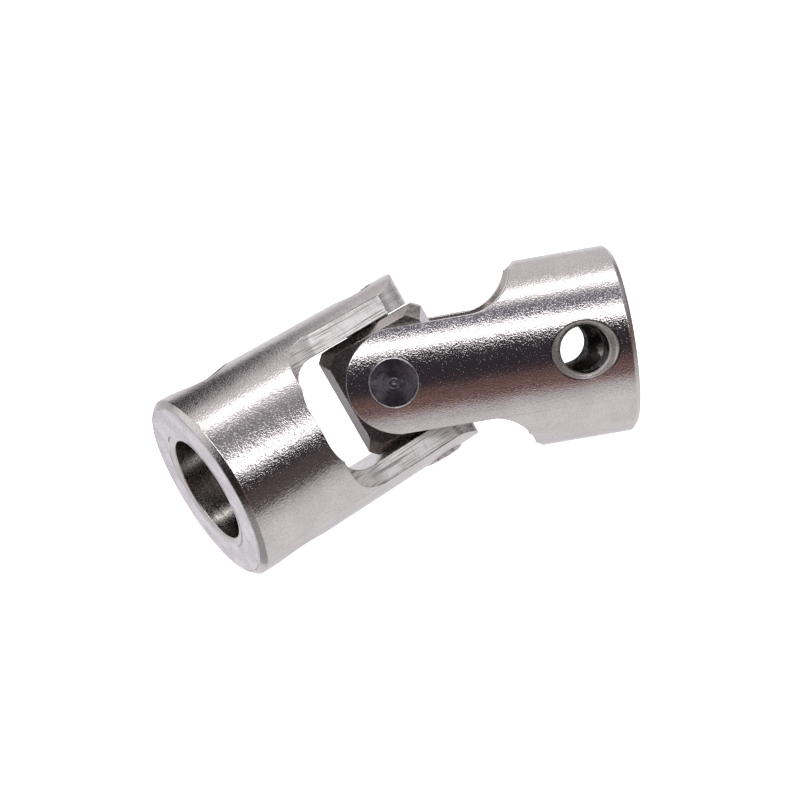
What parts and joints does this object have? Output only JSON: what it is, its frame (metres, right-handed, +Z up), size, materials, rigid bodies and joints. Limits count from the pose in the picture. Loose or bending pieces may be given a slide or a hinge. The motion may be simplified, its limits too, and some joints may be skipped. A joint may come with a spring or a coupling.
{
  "type": "universal joint shaft coupling",
  "caption": "Bent single universal joint coupling with two bored hub yokes, a centre block and hinge pins.",
  "frame": {"origin": "centre of the whole coupling's footprint, on the surface it lies on", "axes": "+Z up from the surface; +X along the coupling from hub A to hub B; the elbow of the bend points to +Y"},
  "size_m": [0.0236, 0.0121, 0.009],
  "materials": {
    "yoke_steel": "bright nickel-plated steel with fine turning and milling marks",
    "block_steel": "nickel-plated steel, fine grey satin",
    "pin_steel": "polished steel pin, faced flush with concentric turning marks"
  },
  "bodies": {
    "yoke_a": {"yoke_a": "yoke_steel", "long_pin": "pin_steel"},
    "block": {"cross_block": "block_steel"},
    "yoke_b": {"yoke_b": "yoke_steel", "short_pin_front": "pin_steel", "short_pin_rear": "pin_steel"}
  },
  "joints": [
    {"name": "long_pin_hinge", "type": "hinge", "parent": "yoke_a", "child": "block", "pos_m": [0, 0.0014, 0.0045], "axis": [-0.1764, 0.5841, 0.7923], "range_deg": [-2.24, 57.76]},
    {"name": "short_pin_hinge", "type": "hinge", "parent": "block", "child": "yoke_b", "pos_m": [0, 0.0014, 0.0045], "axis": [-0.2433, -0.8058, 0.5399], "range_deg": [-10.27, 49.73]}
  ]
}
